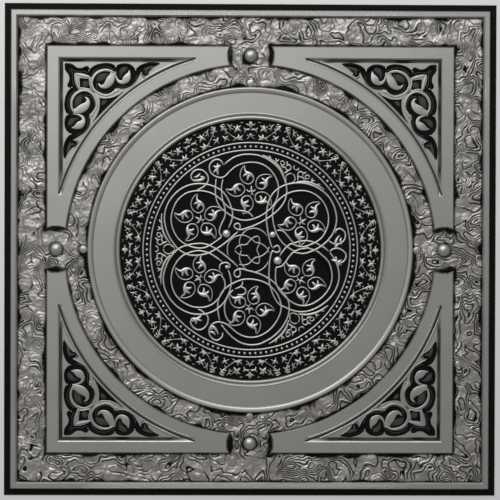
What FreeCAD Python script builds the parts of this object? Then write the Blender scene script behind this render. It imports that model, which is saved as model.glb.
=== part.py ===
import FreeCAD, Part
import math
import os
import Sketcher

# A lay-in ceiling tile pressed from one sheet of tinplate, millimetres.
# The underside of the flange lies on Z = 0 and the show face looks up +Z.
# The front surface is shaped once as a solid form. The sheet is what is left of that form
# when the same form, lowered by the sheet's thickness, is cut away from it.

V = FreeCAD.Vector

sizes = [
    ("tile_side", 603.0, "square blank, fits a 610 grid"),
    ("sheet_thick", 0.3, "tinplate, 30 gauge"),
    ("flange_width", 6.5, "flat flange that lies on the grid"),
    ("rim_rise", 4.3, "rim top above the flange's face"),
    ("rim_outer_wall", 2.7, "run of the rim's outer wall"),
    ("rim_width", 5.3, "flat top of the rim"),
    ("rim_inner_wall", 2.0, "run of the rim's inner wall"),
    ("field_drop", 2.4, "rim top down to the textured field"),
    ("band_width", 35.0, "textured band between rim and corner plates"),
    ("plate_rise", 2.4, "corner plate above the field"),
    ("plate_wall", 1.8, "run of the plate's outer wall"),
    ("bar_straight", 14.5, "straight bars of a plate, from foot to opening"),
    ("bar_curved", 14.0, "curved bar of a plate, from foot to opening"),
    ("opening_wall", 3.0, "run of the wall inside a plate"),
    ("opening_drop", 2.0, "plate top down to the scroll panel"),
    ("opening_tip", 4.4, "width of the opening's blunt ends at the top"),
    ("opening_tip_foot", 0.5, "width of the same ends at the panel"),
    ("scroll_drop", 1.4, "scroll panel down to the ground of the scrolls"),
    ("scroll_depth", 85.3, "panel depth, corner to arc, for which the scrolls are drawn"),
    ("plate_depth", 23.5, "plate's outer line to its arc, on the tile's axis"),
    ("ring_gap", 26.5, "textured ring between plates and moulding"),
    ("ring_rise", 3.8, "crest of the outer moulding above the field"),
    ("ring_wall", 3.0, "run of the outer moulding's outer wall"),
    ("ring_crest", 2.0, "flat on the outer moulding's crest"),
    ("ring_inner_wall", 2.4, "run of its wall down to the flat ring"),
    ("flat_rise", 2.2, "flat ring above the field"),
    ("flat_width", 25.4, "width of the flat ring"),
    ("groove_run", 2.2, "run of the groove's wall from the flat ring"),
    ("groove_depth", 1.2, "groove beside the inner moulding, below the flat ring"),
    ("groove_wall", 1.8, "run of the groove's wall up to the inner moulding"),
    ("bead_rise", 2.7, "crest of the inner moulding above the field"),
    ("bead_crest", 2.0, "flat on the inner moulding's crest"),
    ("bead_wall", 2.2, "run of the inner moulding's wall down to the rose"),
    ("rose_drop", 1.0, "field down to the ground of the rose"),
    ("lobe_inset", 50.6, "rose's edge in to the outermost points of its six circles"),
    ("lobe_radius", 34.9, "radius of a circle at its wire's crest"),
    ("wire_rise", 1.6, "crest of a circle's wire above the ground of the rose"),
    ("wire_run", 1.5, "run of a wire's wall, crest to foot"),
    ("ball_inset", 12.0, "ball centre inside the plates' outer line"),
    ("ball_radius", 7.8, "radius of a ball at its foot"),
    ("ball_slope", 60.0, "slope of a ball at its foot, degrees"),
    ("notch_radius", 27.5, "clear circle round each ball, at the plates' foot"),
]

doc = FreeCAD.newDocument("CeilingTile")
sheet = doc.addObject("Spreadsheet::Sheet", "Sizes")
for row, (alias, value, note) in enumerate(sizes, start=1):
    sheet.set(f"A{row}", alias)
    sheet.set(f"B{row}", repr(value))
    sheet.set(f"C{row}", note)
    sheet.setAlias(f"B{row}", alias)
doc.recompute()


def amount(words):
    total, sign = 0.0, 1.0
    for word in words.split():
        if word in "+-":
            sign = 1.0 if word == "+" else -1.0
        else:
            total += sign * float(sheet.get(word))
    return total


def formula(words):
    return " ".join(word if word in "+-" else "Sizes." + word for word in words.split())


# Levels and lines that several features share, worked out in the sheet itself.
derived = [
    ("tile_half", "tile_side / 2"),
    ("face_half", "tile_half - flange_width"),
    ("field_half", "face_half - rim_outer_wall - rim_width"),
    ("plate_half", "field_half - rim_inner_wall - band_width"),
    ("form_depth", "rim_rise + field_drop"),
    ("rim_level", "sheet_thick + rim_rise"),
    ("field_level", "rim_level - field_drop"),
    ("plate_level", "field_level + plate_rise"),
    ("panel_level", "plate_level - opening_drop"),
    ("scroll_level", "panel_level - scroll_drop"),
    ("rose_level", "field_level - rose_drop"),
    ("plate_arc", "plate_half - plate_depth"),
    ("ring_foot", "plate_arc - ring_gap"),
    ("flat_outer", "ring_foot - ring_wall - ring_crest - ring_inner_wall"),
    ("flat_inner", "flat_outer - flat_width"),
    ("flat_middle", "flat_outer - flat_width / 2"),
    ("bead_outer", "flat_inner - groove_run - groove_wall"),
    ("rose_radius", "bead_outer - bead_crest - bead_wall"),
    ("lobe_centre", "rose_radius - lobe_inset - lobe_radius"),
    ("wire_foot", "rose_level - sheet_thick / 2"),
    ("open_half", "plate_half - bar_straight"),
    ("open_arc", "plate_arc + bar_curved"),
    ("ball_centre", "plate_half - ball_inset"),
    ("panel_half", "open_half - opening_wall"),
    ("panel_arc", "open_arc + opening_wall"),
    ("scroll_scale", "(panel_half * sqrt(2) - panel_arc) / scroll_depth"),
]
for row, (alias, rule) in enumerate(derived, start=len(sizes) + 2):
    sheet.set(f"A{row}", alias)
    sheet.set(f"B{row}", "=" + rule)
    sheet.setAlias(f"B{row}", alias)
doc.recompute()


def plane(body, role):
    return next(item for item in body.Origin.OriginFeatures if item.Role == role)


def new_sketch(body, name, role="XY_Plane", level=None):
    sketch = body.newObject("Sketcher::SketchObject", name)
    sketch.AttachmentSupport = [(plane(body, role), "")]
    sketch.MapMode = "FlatFace"
    if level:
        sketch.setExpression(".AttachmentOffset.Base.z", formula(level))
    return sketch


def bind(sketch, name, words, *constraint):
    index = sketch.addConstraint(Sketcher.Constraint(*constraint, amount(words)))
    sketch.renameConstraint(index, name)
    sketch.setExpression(f".Constraints.{name}", formula(words))


def line(start, end):
    return Part.LineSegment(V(*start, 0), V(*end, 0))


def arc_through(start, middle, end):
    return Part.Arc(V(*start, 0), V(*middle, 0), V(*end, 0))


def arc_about(centre, radius, first, last):
    return Part.ArcOfCircle(Part.Circle(V(*centre, 0), V(0, 0, 1), radius), first, last)


def close_loop(sketch, count):
    for index in range(count):
        following = (index + 1) % count
        sketch.addConstraint(Sketcher.Constraint("Coincident", index, 2, following, 1))


def square_sketch(body, name, half, level):
    sketch = new_sketch(body, name, level=level)
    reach = amount(half)
    corners = [(-reach, -reach), (reach, -reach), (reach, reach), (-reach, reach)]
    for index in range(4):
        sketch.addGeometry(line(corners[index], corners[(index + 1) % 4]))
    close_loop(sketch, 4)
    for index in (0, 2):
        sketch.addConstraint(Sketcher.Constraint("Horizontal", index))
    for index in (1, 3):
        sketch.addConstraint(Sketcher.Constraint("Vertical", index))
    sketch.addConstraint(Sketcher.Constraint("Symmetric", 0, 1, 1, 2, -1, 1))
    bind(sketch, "half_width", half, "DistanceX", -1, 1, 1, 2)
    bind(sketch, "half_height", half, "DistanceY", -1, 1, 1, 2)
    return sketch


def add_feature(body, kind, name, sketch, length, run=None, reverse=False):
    feature = body.newObject("PartDesign::" + kind, name)
    feature.Profile = sketch
    feature.setExpression("Length", formula(length))
    feature.Reversed = reverse
    if run:
        feature.setExpression("TaperAngle", f"-atan(({formula(run)}) / ({formula(length)}))")
    body.Tip = feature
    return feature


# The blank, the raised face inside the flange and the sunk field inside the rim.
form = doc.addObject("PartDesign::Body", "Form")
blank = square_sketch(form, "BlankOutline", "tile_half", "sheet_thick")
add_feature(form, "Pad", "Blank", blank, "form_depth", reverse=True)
face = square_sketch(form, "FaceOutline", "face_half", "sheet_thick")
add_feature(form, "Pad", "Face", face, "rim_rise", "rim_outer_wall")
field = square_sketch(form, "FieldOutline", "field_half", "rim_level")
add_feature(form, "Pocket", "Field", field, "field_drop", "rim_inner_wall")


# One corner plate: two straight bars and a curved one, notched round the balls.
def plate_sketch(body):
    half, arc = amount("plate_half"), amount("plate_arc")
    ball, notch = amount("ball_centre"), amount("notch_radius")
    reach = math.sqrt(notch ** 2 - (half - ball) ** 2)
    far = (arc ** 2 - notch ** 2 + ball ** 2) / (2 * ball)
    near = math.sqrt(arc ** 2 - far ** 2)
    sketch = new_sketch(body, "PlateOutline", level="field_level")
    sketch.addGeometry(line((reach, half), (half, half)))
    sketch.addGeometry(line((half, half), (half, reach)))
    turn_out, turn_in = math.atan2(reach, half - ball), math.atan2(near, far - ball)
    sketch.addGeometry(arc_about((ball, 0), notch, turn_out, turn_in))
    sketch.addGeometry(arc_about((0, 0), arc, math.atan2(near, far), math.atan2(far, near)))
    sketch.addGeometry(arc_about((0, ball), notch, math.pi / 2 - turn_in, math.pi / 2 - turn_out))
    close_loop(sketch, 5)
    sketch.addConstraint(Sketcher.Constraint("Horizontal", 0))
    sketch.addConstraint(Sketcher.Constraint("Vertical", 1))
    sketch.addConstraint(Sketcher.Constraint("PointOnObject", 2, 3, -1))
    sketch.addConstraint(Sketcher.Constraint("Coincident", 3, 3, -1, 1))
    sketch.addConstraint(Sketcher.Constraint("PointOnObject", 4, 3, -2))
    bind(sketch, "corner_x", "plate_half", "DistanceX", -1, 1, 0, 2)
    bind(sketch, "corner_y", "plate_half", "DistanceY", -1, 1, 0, 2)
    bind(sketch, "ball_x", "ball_centre", "DistanceX", -1, 1, 2, 3)
    bind(sketch, "ball_y", "ball_centre", "DistanceY", -1, 1, 4, 3)
    bind(sketch, "arc", "plate_arc", "Radius", 3)
    bind(sketch, "notch_right", "notch_radius", "Radius", 2)
    bind(sketch, "notch_top", "notch_radius", "Radius", 4)
    return sketch


# The opening of a plate at one level: two sides, an arc, and short ends across its two tips.
def opening_sketch(body, name, level, side_line, arc_line, tip_width):
    half, arc, tip = amount(side_line), amount(arc_line), amount(tip_width)
    inner = half - tip
    reach = math.sqrt(arc ** 2 - inner ** 2)
    sketch = new_sketch(body, name, level=level)
    sketch.addGeometry(line((reach, half), (half, half)))
    sketch.addGeometry(line((half, half), (half, reach)))
    sketch.addGeometry(line((half, reach), (inner, reach)))
    sketch.addGeometry(arc_about((0, 0), arc, math.atan2(reach, inner), math.atan2(inner, reach)))
    sketch.addGeometry(line((reach, inner), (reach, half)))
    close_loop(sketch, 5)
    for index in (0, 2):
        sketch.addConstraint(Sketcher.Constraint("Horizontal", index))
    for index in (1, 4):
        sketch.addConstraint(Sketcher.Constraint("Vertical", index))
    sketch.addConstraint(Sketcher.Constraint("Coincident", 3, 3, -1, 1))
    bind(sketch, "corner_x", side_line, "DistanceX", -1, 1, 0, 2)
    bind(sketch, "corner_y", side_line, "DistanceY", -1, 1, 0, 2)
    bind(sketch, "tip_right", tip_width, "DistanceX", 2, 2, 2, 1)
    bind(sketch, "tip_top", tip_width, "DistanceY", 4, 1, 4, 2)
    bind(sketch, "arc", arc_line, "Radius", 3)
    return sketch


# A turned section: a closed loop of corners, each held at its radius and height.
def section_sketch(body, name, corners, role="XZ_Plane"):
    sketch = new_sketch(body, name, role=role)
    points = [(amount(radius), amount(height)) for radius, height in corners]
    for index in range(len(points)):
        sketch.addGeometry(line(points[index], points[(index + 1) % len(points)]))
    close_loop(sketch, len(points))
    for index, (radius, height) in enumerate(corners):
        bind(sketch, f"radius_{index}", radius, "DistanceX", -1, 1, index, 1)
        bind(sketch, f"height_{index}", height, "DistanceY", -1, 1, index, 1)
    return sketch


def polar_copies(body, name, originals, occurrences):
    pattern = body.newObject("PartDesign::PolarPattern", name)
    pattern.Originals = originals
    pattern.Axis = (plane(body, "Z_Axis"), [""])
    pattern.Angle = 360
    pattern.Occurrences = occurrences
    body.Tip = pattern
    return pattern


plate = add_feature(form, "Pad", "Plate", plate_sketch(form), "plate_rise", "plate_wall")
opening = form.newObject("PartDesign::SubtractiveLoft", "Opening")
opening.Profile = opening_sketch(form, "OpeningTop", "plate_level",
                                 "open_half", "open_arc", "opening_tip")
opening.Sections = [opening_sketch(form, "OpeningFoot", "panel_level",
                                   "open_half - opening_wall",
                                   "open_arc + opening_wall", "opening_tip_foot")]
opening.Ruled = True
polar_copies(form, "Plates", [plate, opening], 4)

# The rose is sunk first, then the ring of mouldings is turned over its edge.
rose = new_sketch(form, "RoseOutline", level="field_level")
rose.addGeometry(Part.Circle(V(0, 0, 0), V(0, 0, 1), amount("flat_middle")))
rose.addConstraint(Sketcher.Constraint("Coincident", 0, 3, -1, 1))
bind(rose, "radius", "flat_middle", "Radius", 0)
add_feature(form, "Pocket", "Rose", rose, "rose_drop")


ring_section = [
    ("rose_radius", "sheet_thick"),
    ("rose_radius", "rose_level"),
    ("rose_radius + bead_wall", "field_level + bead_rise"),
    ("bead_outer", "field_level + bead_rise"),
    ("flat_inner - groove_run", "field_level + flat_rise - groove_depth"),
    ("flat_inner", "field_level + flat_rise"),
    ("flat_outer", "field_level + flat_rise"),
    ("ring_foot - ring_wall - ring_crest", "field_level + ring_rise"),
    ("ring_foot - ring_wall", "field_level + ring_rise"),
    ("ring_foot", "field_level"),
    ("ring_foot", "sheet_thick"),
]
mouldings = form.newObject("PartDesign::Revolution", "Mouldings")
mouldings.Profile = section_sketch(form, "MouldingSection", ring_section)
mouldings.ReferenceAxis = (plane(form, "Z_Axis"), [""])
mouldings.Angle = 360
form.Tip = mouldings


# The sheet: the form, less the same form lowered by the sheet's thickness.
lowered = doc.addObject("Part::Compound", "LoweredForm")
lowered.Links = [form]
lowered.setExpression("Placement.Base.z", "-Sizes.sheet_thick")
plain = doc.addObject("Part::Cut", "PlainSheet")
plain.Base = form
plain.Tool = lowered

# Low relief that stands on the finished sheet and is filled behind: four balls, and the inner
# wires of the rose's six circles.
relief = doc.addObject("PartDesign::Body", "Relief")
relief.AllowCompound = True
ball = relief.newObject("PartDesign::AdditiveSphere", "Ball")
slope, sink = "Sizes.ball_slope * 1 deg", "Sizes.ball_radius / tan(Sizes.ball_slope * 1 deg)"
ball.setExpression("Radius", f"Sizes.ball_radius / sin({slope})")
ball.setExpression("Angle1", f"asin(({sink} - Sizes.sheet_thick / 2) * sin({slope}) / Sizes.ball_radius)")
ball.setExpression("Placement.Base.x", "Sizes.ball_centre")
ball.setExpression("Placement.Base.z", f"Sizes.field_level - {sink}")
polar_copies(relief, "Balls", [ball], 4)
wire = relief.newObject("PartDesign::Revolution", "Wire")
wire_corners = [
    ("lobe_radius + wire_run", "wire_foot"),
    ("lobe_radius", "rose_level + wire_rise"),
    ("lobe_radius - wire_run", "wire_foot"),
]
wire_section = section_sketch(relief, "WireSection", wire_corners, role="YZ_Plane")
wire_section.setExpression(".AttachmentOffset.Base.x", formula("lobe_centre"))
wire.Profile = wire_section
wire.ReferenceAxis = (wire_section, ["V_Axis"])
wire.Angle = 360
polar_copies(relief, "Wires", [wire], 6)


# Scroll outlines are drawn from the panel's corner, x along one side and y along the other.
# A pair is the end of a straight run, four values are an arc: a point on it, then its end.
def scroll_edges(outline):
    scale, corner = amount("scroll_scale"), amount("panel_half")
    last = outline[0]
    for step in outline[1:]:
        points = [last] + [step[index:index + 2] for index in range(0, len(step), 2)]
        placed = [(corner - scale * along, corner - scale * across) for along, across in points]
        yield line(*placed) if len(placed) == 2 else arc_through(*placed)
        last = points[-1]


def mirrored(outline):
    ends = [step[-2:] for step in outline]
    back = [ends[-1][::-1]]
    for step, before in zip(outline[:0:-1], ends[-2::-1]):
        back.append(step[:-2][::-1] + before[::-1])
    return back


# An outline that meets the panel's diagonal is closed by its mirror image, others stand in pairs.
def scroll_sketch(name, outline, across_diagonal):
    sketch = doc.addObject("Sketcher::SketchObject", name)
    other = mirrored(outline)
    for loop in [outline + other[1:]] if across_diagonal else [outline, other]:
        for edge in scroll_edges(loop):
            sketch.addGeometry(edge)
    return sketch


def raise_outline(sketch, level, height):
    block = doc.addObject("Part::Extrusion", sketch.Name + "Block")
    block.Base = sketch
    block.DirMode = "Custom"
    block.Dir = V(0, 0, 1)
    block.Solid = True
    block.setExpression("LengthFwd", formula(height))
    block.setExpression("Placement.Base.z", formula(level))
    return block


# The black ground of the scrolls, from the corner's tip to the diagonal under the two volutes.
ground = [
    (5.3, 5.3), (12.5, 7.1, 18.5, 11.5), (25.5, 12.3, 32.1, 9.8), (33.8, 14.5),
    (52.0, 4.8, 67.0, 9.5), (78.5, 5.4, 91.2, 13.3), (98.0, 7.5, 106.5, 5.4), (122.0, 5.1),
    (107.8, 14.7), (103.2, 22.5, 98.7, 14.8), (92.5, 25.5), (87.0, 33.0, 75.5, 35.9), (68.0, 35.9),
    (53.1, 43.7, 40.2, 40.2),
]
# Two volutes and a tulip stand up from the ground, with an eye sunk in the tulip and a dark
# wedge beside the volutes.
volute = [
    (61.0, 15.3), (53.1, 14.3, 39.1, 28.3), (43.2, 38.2, 53.1, 42.3), (61.5, 40.8, 66.5, 35.4),
    (72.0, 35.4), (71.0, 39.5), (64.0, 44.5, 53.1, 45.3), (41.1, 40.3, 36.1, 28.3),
    (53.1, 11.3, 67.0, 17.5), (61.0, 15.3),
]
tulip = [(16.7, 16.7), (26.5, 17.1, 37.7, 22.0), (35.8, 28.3, 38.9, 38.9)]
tulip_eye = [(22.5, 22.5), (34.0, 23.5), (36.0, 28.5, 35.5, 35.5)]
wedge = [(46.9, 46.9), (61.0, 46.4, 73.7, 40.7), (64.9, 48.3, 56.4, 56.4)]
# Behind them the sheet is one tub, just wider than the ground and the wedge.
tub = [
    (4.5, 4.5), (123.5, 4.5), (109.0, 15.2), (108.8, 20.4), (104.8, 23.1), (93.4, 26.3),
    (88.0, 33.8), (75.2, 41.2), (57.0, 57.0),
]

sunk_height = "scroll_drop + sheet_thick"
forms = doc.addObject("Part::Compound", "ScrollForms")
forms.Links = [raise_outline(scroll_sketch("Volutes", volute, False), "scroll_level", sunk_height),
               raise_outline(scroll_sketch("Tulip", tulip, True), "scroll_level", sunk_height)]
sunk = doc.addObject("Part::Cut", "SunkGround")
sunk.Base = raise_outline(scroll_sketch("Ground", ground, True), "scroll_level", sunk_height)
sunk.Tool = forms
hollow = doc.addObject("Part::Compound", "Hollows")
hollow.Links = [sunk,
                raise_outline(scroll_sketch("TulipEye", tulip_eye, True), "scroll_level", sunk_height),
                raise_outline(scroll_sketch("Wedge", wedge, True), "scroll_level", sunk_height)]
behind = raise_outline(scroll_sketch("Tub", tub, True), "scroll_level - sheet_thick", sunk_height)


# One corner's solids repeated in all four, by mirror images across the tile's two axes.
def four_corners(name, corner):
    beside = doc.addObject("Part::Mirroring", name + "Beside")
    beside.Source = corner
    beside.Normal = V(1, 0, 0)
    pair = doc.addObject("Part::Compound", name + "Pair")
    pair.Links = [corner, beside]
    below = doc.addObject("Part::Mirroring", name + "Below")
    below.Source = pair
    below.Normal = V(0, 1, 0)
    return [pair, below]


joined = doc.addObject("Part::MultiFuse", "SheetAndTubs")
joined.Shapes = [plain, relief] + four_corners("Tub", behind)
hollows = doc.addObject("Part::Compound", "AllHollows")
hollows.Links = four_corners("Hollow", hollow)
tile = doc.addObject("Part::Cut", "PressedSheet")
tile.Base = joined
tile.Tool = hollows
tile.Refine = True
tile.Label = "ceiling_tile"
doc.recompute()

for item in doc.Objects:
    if "Invalid" in item.State or "Error" in item.State:
        raise RuntimeError(f"{item.Name} did not build")
os.makedirs("parts", exist_ok=True)
for part in (tile,):
    if not part.Shape.isValid() or len(part.Shape.Solids) != 1:
        raise RuntimeError(f"{part.Label} is not one sound solid")
    part.Shape.exportStep(f"parts/{part.Label}.step")
    print(part.Label, round(part.Shape.Volume), "mm3")
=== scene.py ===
import bmesh
import bpy
import math
from mathutils import Matrix, Vector, noise


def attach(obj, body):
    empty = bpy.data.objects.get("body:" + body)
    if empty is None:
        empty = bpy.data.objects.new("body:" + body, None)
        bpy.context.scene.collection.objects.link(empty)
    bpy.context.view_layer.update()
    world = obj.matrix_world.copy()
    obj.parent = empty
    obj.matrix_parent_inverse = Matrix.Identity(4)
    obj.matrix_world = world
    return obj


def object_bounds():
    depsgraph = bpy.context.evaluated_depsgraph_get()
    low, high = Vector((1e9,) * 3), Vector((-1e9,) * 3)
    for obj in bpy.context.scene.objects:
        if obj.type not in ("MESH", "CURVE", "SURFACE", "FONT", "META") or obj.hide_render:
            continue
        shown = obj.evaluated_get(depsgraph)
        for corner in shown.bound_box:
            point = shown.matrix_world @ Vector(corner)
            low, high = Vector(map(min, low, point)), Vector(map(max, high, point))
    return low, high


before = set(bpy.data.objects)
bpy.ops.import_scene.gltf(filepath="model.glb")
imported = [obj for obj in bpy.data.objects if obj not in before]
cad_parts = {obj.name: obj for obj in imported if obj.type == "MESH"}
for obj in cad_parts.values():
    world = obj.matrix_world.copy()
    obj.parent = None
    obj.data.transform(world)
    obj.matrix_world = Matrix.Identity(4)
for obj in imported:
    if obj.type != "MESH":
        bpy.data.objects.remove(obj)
cadLow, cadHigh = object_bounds()
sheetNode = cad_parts["ceiling_tile"]
tileHalf = cadHigh.x * 1000.0  # lengths below are millimetres, scaled once when a piece is finished
print("frame loaded, tile half", round(tileHalf, 1), "mm")

# Lines and levels of the pressed sheet, from its outer edge inwards.
sheet = dict(
    rimTop=4.6, field=2.2, panel=2.6, scrollGround=1.2, roseGround=1.2,
    rimOuter=tileHalf - 9.2, fieldEdge=tileHalf - 16.5,
    plateEdge=tileHalf - 51.5, plateArc=tileHalf - 75.0, ringFoot=tileHalf - 101.5,
    ballCentre=tileHalf - 63.5, ballRadius=7.8, notchRadius=27.5, studCentre=204.6, studRadius=4.7,
)
sink = 0.12  # how far the relief reaches into the sheet below it


# Materials: one rubbed silver tin, blackened where the patina was left to lie; some of the black is painted shade and
# some of the bright silver painted highlight.
def nodeGroup(name, inputs, outputs):
    group = bpy.data.node_groups.new(name, "ShaderNodeTree")
    for label, kind, value in inputs:
        socket = group.interface.new_socket(name=label, in_out="INPUT", socket_type=kind)
        socket.default_value = value
    for label, kind in outputs:
        group.interface.new_socket(name=label, in_out="OUTPUT", socket_type=kind)
    return group, group.nodes.new("NodeGroupInput"), group.nodes.new("NodeGroupOutput")


def addNode(tree, kind, inputs=(), **settings):
    node = tree.nodes.new(kind)
    for key, value in settings.items():
        setattr(node, key, value)
    for slot, value in dict(inputs).items():
        if isinstance(value, bpy.types.NodeSocket):
            tree.links.new(value, node.inputs[slot])
        else:
            node.inputs[slot].default_value = value
    return node


def addMath(tree, operation, *values):
    return addNode(tree, "ShaderNodeMath", enumerate(values), operation=operation).outputs[0]


def multiply(tree, value, *others):
    for other in others:
        value = addMath(tree, "MULTIPLY", value, other)
    return value


def addRange(tree, value, low, high, toLow=0.0, toHigh=1.0, kind="LINEAR"):
    return addNode(tree, "ShaderNodeMapRange", {
        "Value": value, "From Min": low, "From Max": high, "To Min": toLow, "To Max": toHigh},
        interpolation_type=kind).outputs[0]


def addNoise(tree, place, scale, detail, rough=0.5):
    return addNode(tree, "ShaderNodeTexNoise", {
        "Vector": place, "Scale": scale, "Detail": detail, "Roughness": rough}).outputs["Fac"]


def addMix(tree, share, low, high):
    return addNode(tree, "ShaderNodeMix", {0: share, 6: low, 7: high}, data_type="RGBA").outputs[2]


# The place on the tile in millimetres, and its distance from the middle as seen from above.
def addPlace(tree):
    place = addNode(tree, "ShaderNodeTexCoord").outputs["Object"]
    place, flat = [addNode(tree, "ShaderNodeVectorMath", {
        0: place, 1: (1000.0, 1000.0, depth)}, operation="MULTIPLY").outputs[0] for depth in (1000.0, 0.0)]
    return place, addNode(tree, "ShaderNodeVectorMath", {0: flat}, operation="LENGTH").outputs["Value"]


# Silver shows above a height, black below it, with a ragged edge between.
def buildPatinaGroup():
    group, given, result = nodeGroup(
        "patinaByHeight",
        [("lowEdge", "NodeSocketFloat", 1.5), ("highEdge", "NodeSocketFloat", 2.2), ("ragged", "NodeSocketFloat", 0.2),
         ("blackWithin", "NodeSocketFloat", 0.0)],
        [("silver", "NodeSocketFloat"), ("wearAndHighlight", "NodeSocketFloat")])
    place, reach = addPlace(group)
    height = addNode(group, "ShaderNodeSeparateXYZ", {0: place}).outputs["Z"]
    speckle = addNoise(group, place, 0.42, 3.0)
    shift = multiply(group, addMath(group, "SUBTRACT", speckle, 0.5), given.outputs["ragged"])
    height = addMath(group, "ADD", height, shift)
    within = addMath(group, "LESS_THAN", reach, given.outputs["blackWithin"])
    height = addMath(group, "SUBTRACT", height, multiply(group, within, 9.0))
    edge = addRange(group, height, given.outputs["lowEdge"], given.outputs["highEdge"], kind="SMOOTHSTEP")
    group.links.new(edge, result.inputs["silver"])
    # Towards the crest the silver turns brighter: rubbed wear and a painted highlight.
    crest = addRange(group, addMath(group, "SUBTRACT", height, given.outputs["highEdge"]), 0.0, 1.3)
    group.links.new(crest, result.inputs["wearAndHighlight"])
    return group


# Black patina left in a straight or a round line: a mask of one at the line, none at its half width.
def buildLineGroup():
    group, given, result = nodeGroup(
        "darkLine",
        [("value", "NodeSocketFloat", 0.0), ("line", "NodeSocketFloat", 165.0), ("halfWidth", "NodeSocketFloat", 1.0)],
        [("mask", "NodeSocketFloat")])
    away = addMath(group, "ABSOLUTE", addMath(group, "SUBTRACT", given.outputs["value"], given.outputs["line"]))
    mask = addRange(group, addMath(group, "DIVIDE", away, given.outputs["halfWidth"]), 1.0, 0.5, kind="SMOOTHSTEP")
    group.links.new(mask, result.inputs["mask"])
    return group


# Slight clouds and specks of hand rubbing, for colour and gloss.
def buildRubbingGroup():
    group, given, result = nodeGroup(
        "rubbedTin",
        [("cloudScale", "NodeSocketFloat", 14.0), ("speckScale", "NodeSocketFloat", 900.0)],
        [("cloud", "NodeSocketFloat"), ("speck", "NodeSocketFloat")])
    place = addNode(group, "ShaderNodeTexCoord").outputs["Object"]
    for label, scale, detail in (("cloud", "cloudScale", 4.0), ("speck", "speckScale", 2.0)):
        group.links.new(addNoise(group, place, given.outputs[scale], detail, 0.6), result.inputs[label])
    return group


patinaGroup = buildPatinaGroup()
rubbingGroup = buildRubbingGroup()
lineGroup = buildLineGroup()

tinLook = dict(
    silver=(0.5, 0.495, 0.465, 1.0), silverDull=(0.4, 0.395, 0.372, 1.0), silverWarm=(0.42, 0.385, 0.355, 1.0),
    silverBright=(0.68, 0.675, 0.65, 1.0), black=(0.004, 0.004, 0.004, 1.0), metallic=0.85, blackGloss=0.08,
    silverRough=0.36, blackRough=0.5, speckRough=0.08, speckBump=0.04, speckDepth=0.0002,
)


# The shader that every finish shares: a silver share between 0 and 1 mixes tin and patina, and with the patina any
# painted shade.
def finishTin(material, silverShare, wearAndHighlight=None, bumpHeight=None, bumpDepth=0.0, dullTin="silverDull"):
    tree = material.node_tree
    rub = addNode(tree, "ShaderNodeGroup", node_tree=rubbingGroup)
    tint = addMix(tree, rub.outputs["cloud"], tinLook["silver"], tinLook[dullTin])
    # An optional mask brightens the silver: rubbed wear and painted highlight on crests, a painted highlight on the
    # ground's lips.
    if wearAndHighlight is not None:
        tint = addMix(tree, wearAndHighlight, tint, tinLook["silverBright"])
    colour = addMix(tree, silverShare, tinLook["black"], tint)
    rough = addRange(tree, silverShare, 0.0, 1.0, tinLook["blackRough"], tinLook["silverRough"])
    rough = addMath(tree, "ADD", rough, multiply(tree, rub.outputs["speck"], tinLook["speckRough"]))
    metal = multiply(tree, silverShare, tinLook["metallic"])
    fine = addNode(tree, "ShaderNodeBump", {
        "Height": rub.outputs["speck"], "Strength": tinLook["speckBump"], "Distance": tinLook["speckDepth"]}).outputs[0]
    if bumpHeight is not None:
        fine = addNode(tree, "ShaderNodeBump", {
            "Height": bumpHeight, "Strength": 1.0, "Distance": bumpDepth, "Normal": fine}).outputs[0]
    shader = tree.nodes["Principled BSDF"]
    shader.inputs["Specular IOR Level"].default_value = tinLook["blackGloss"]
    tree.links.new(colour, shader.inputs["Base Color"])
    tree.links.new(rough, shader.inputs["Roughness"])
    tree.links.new(metal, shader.inputs["Metallic"])
    tree.links.new(fine, shader.inputs["Normal"])
    return material


def newMaterial(name):
    material = bpy.data.materials.new(name)
    material.use_nodes = True
    return material


def heightTin(name, lowEdge, highEdge, ragged=0.2, wearAndHighlight=False):
    material = newMaterial(name)
    patina = addNode(material.node_tree, "ShaderNodeGroup", {
        "lowEdge": lowEdge, "highEdge": highEdge, "ragged": ragged}, node_tree=patinaGroup)
    return finishTin(material, patina.outputs["silver"], patina.outputs["wearAndHighlight"] if wearAndHighlight else None)


# The sheet itself: black in the rose, in the grooves beside the mouldings and at the foot of the openings,
# whose pointed ends stay bright. The black at the foot of the openings is patina and painted shade.
# A groove is (radius, half width, strength); those past archStart lie low.
sheetLook = dict(lowEdge=2.25, highEdge=2.5, ragged=0.1, roseEdge=159.0, archStart=240.0,
                 grooves=((164.9, 0.9, 0.3), (192.5, 0.7, 0.3), (244.0, 1.5, 0.95)), grimeAndShadeScale=0.03,
                 footLine=231.9, footWidth=3.0, footTop=4.4, footLight=0.84, footWander=1.6, tip=(68.0, 98.0))


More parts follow.
